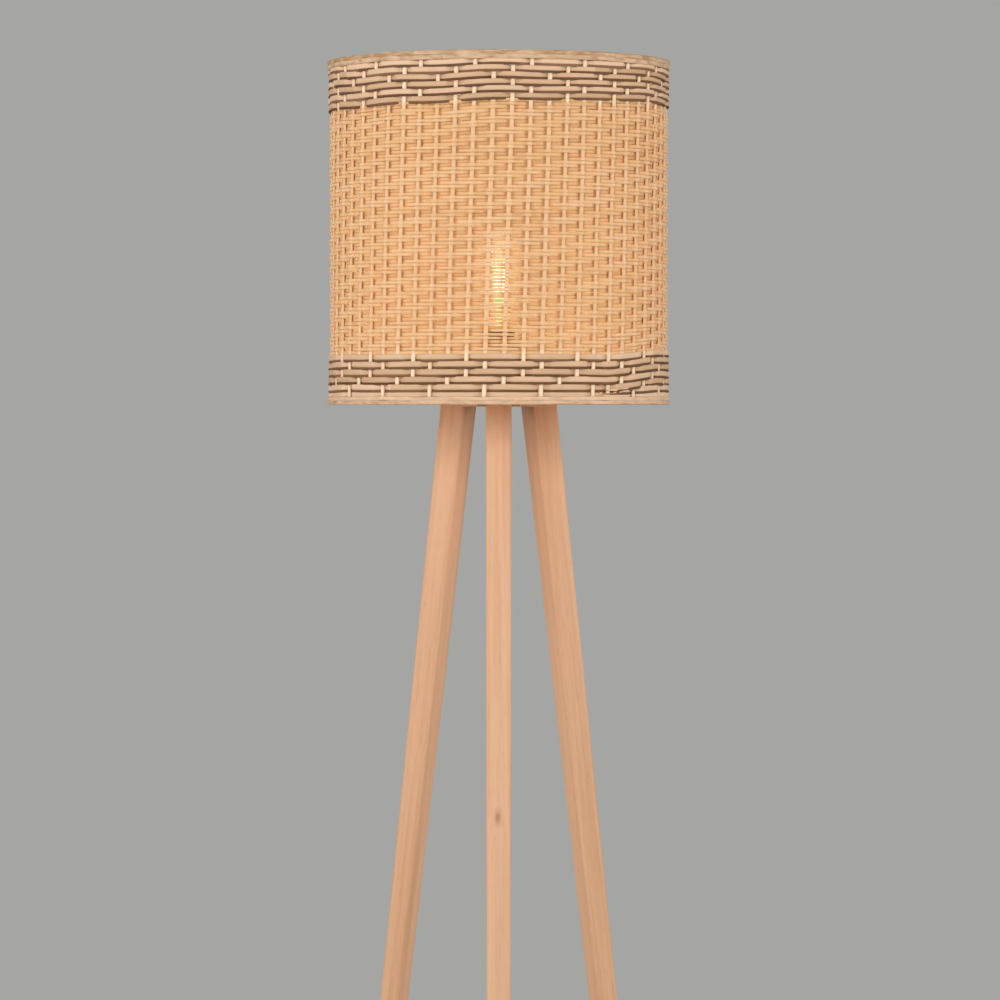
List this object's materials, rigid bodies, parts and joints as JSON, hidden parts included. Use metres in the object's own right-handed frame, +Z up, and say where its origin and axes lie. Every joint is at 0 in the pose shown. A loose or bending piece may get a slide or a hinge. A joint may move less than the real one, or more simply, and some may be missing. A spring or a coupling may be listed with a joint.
{
  "type": "floor lamp",
  "caption": "Floor lamp with a woven rattan drum shade on a splayed timber tripod, with a screw-in bulb held in a threaded holder.",
  "frame": {"origin": "on the floor, on the lamp's upright axis", "axes": "+Z up along the lamp's axis, -Y towards the front leg, +X to the right seen from the front"},
  "size_m": [0.4, 0.4023, 1.5],
  "materials": {
    "leg_wood": "light beech with a satin clear coat",
    "hub_wood": "beech, a little darker, satin",
    "rattan_weave": "natural rattan core, matt",
    "rattan_band": "pale split rattan, matt",
    "rattan_rim": "split rattan, a slight sheen",
    "black_plastic": "black moulded resin",
    "ceramic": "unglazed, off white",
    "glide": "brown moulded plastic",
    "steel": "zinc plated",
    "brass": "plain brass",
    "shade_wire": "cream paint on steel wire",
    "bulb_glass": "clear, with a faint amber tint",
    "filament": "lit warm yellow"
  },
  "bodies": {
    "lamp": {"leg_front": "leg_wood", "leg_rear_right": "leg_wood", "leg_rear_left": "leg_wood", "glide_front": "glide", "glide_rear_right": "glide", "glide_rear_left": "glide", "bolt_front_lower": "steel", "bolt_front_upper": "steel", "bolt_rear_right_lower": "steel", "bolt_rear_right_upper": "steel", "bolt_rear_left_lower": "steel", "bolt_rear_left_upper": "steel", "hub": "hub_wood", "threaded_tube": "brass", "lower_washer": "steel", "lower_nut": "steel", "upper_nut": "steel", "cord_bushing": "black_plastic", "holder_base": "black_plastic", "holder_body": "black_plastic", "holder_insert": "ceramic", "screw_shell": "brass", "centre_contact": "brass"},
    "shade": {"fitting_ring": "shade_wire", "carrier_arm_back": "shade_wire", "carrier_arm_right": "shade_wire", "carrier_arm_left": "shade_wire", "lower_hoop": "shade_wire", "upper_hoop": "shade_wire", "lower_binding": "rattan_rim", "upper_binding": "rattan_rim", "woven_panel": "rattan_weave", "upper_weaver_1": "rattan_band", "upper_weaver_2": "rattan_band", "upper_weaver_3": "rattan_band", "upper_weaver_4": "rattan_band", "upper_weaver_5": "rattan_band", "upper_weaver_6": "rattan_band", "lower_weaver_1": "rattan_band", "lower_weaver_2": "rattan_band", "lower_weaver_3": "rattan_band", "lower_weaver_4": "rattan_band", "lower_weaver_5": "rattan_band"},
    "ring_flange": {"shade_ring_flange": "black_plastic"},
    "ring_collar": {"shade_ring_collar": "black_plastic"},
    "bulb_tip": {"bulb_contact": "steel"},
    "bulb": {"bulb_insulator": "black_plastic", "bulb_cap": "brass", "bulb_glass": "bulb_glass", "bulb_stem": "bulb_glass", "filament_1": "filament", "filament_2": "filament", "filament_3": "filament", "filament_4": "filament"}
  },
  "joints": [
    {"name": "bulb_turn", "type": "hinge", "parent": "bulb_tip", "child": "bulb", "pos_m": [0, 0, 1.18], "axis": [0, 0, 1], "range_deg": [0, 2160]},
    {"name": "bulb_lift", "type": "slide", "parent": "lamp", "child": "bulb_tip", "axis": [0, 0, 1], "range_m": [0, 0.0218]},
    {"name": "collar_turn", "type": "hinge", "parent": "ring_flange", "child": "ring_collar", "pos_m": [0, 0, 1.17], "axis": [0, 0, 1], "range_deg": [0, 1800]},
    {"name": "collar_lift", "type": "slide", "parent": "lamp", "child": "ring_flange", "axis": [0, 0, 1], "range_m": [0, 0.01251]},
    {"name": "shade_turn", "type": "hinge", "parent": "lamp", "child": "shade", "pos_m": [0, 0, 1.16], "axis": [0, 0, 1], "continuous": true}
  ],
  "couplings": [
    {"joint": "bulb_lift", "follows": "bulb_turn", "m_per_rad": 0.00057757},
    {"joint": "collar_lift", "follows": "collar_turn", "m_per_rad": 0.00039789}
  ]
}
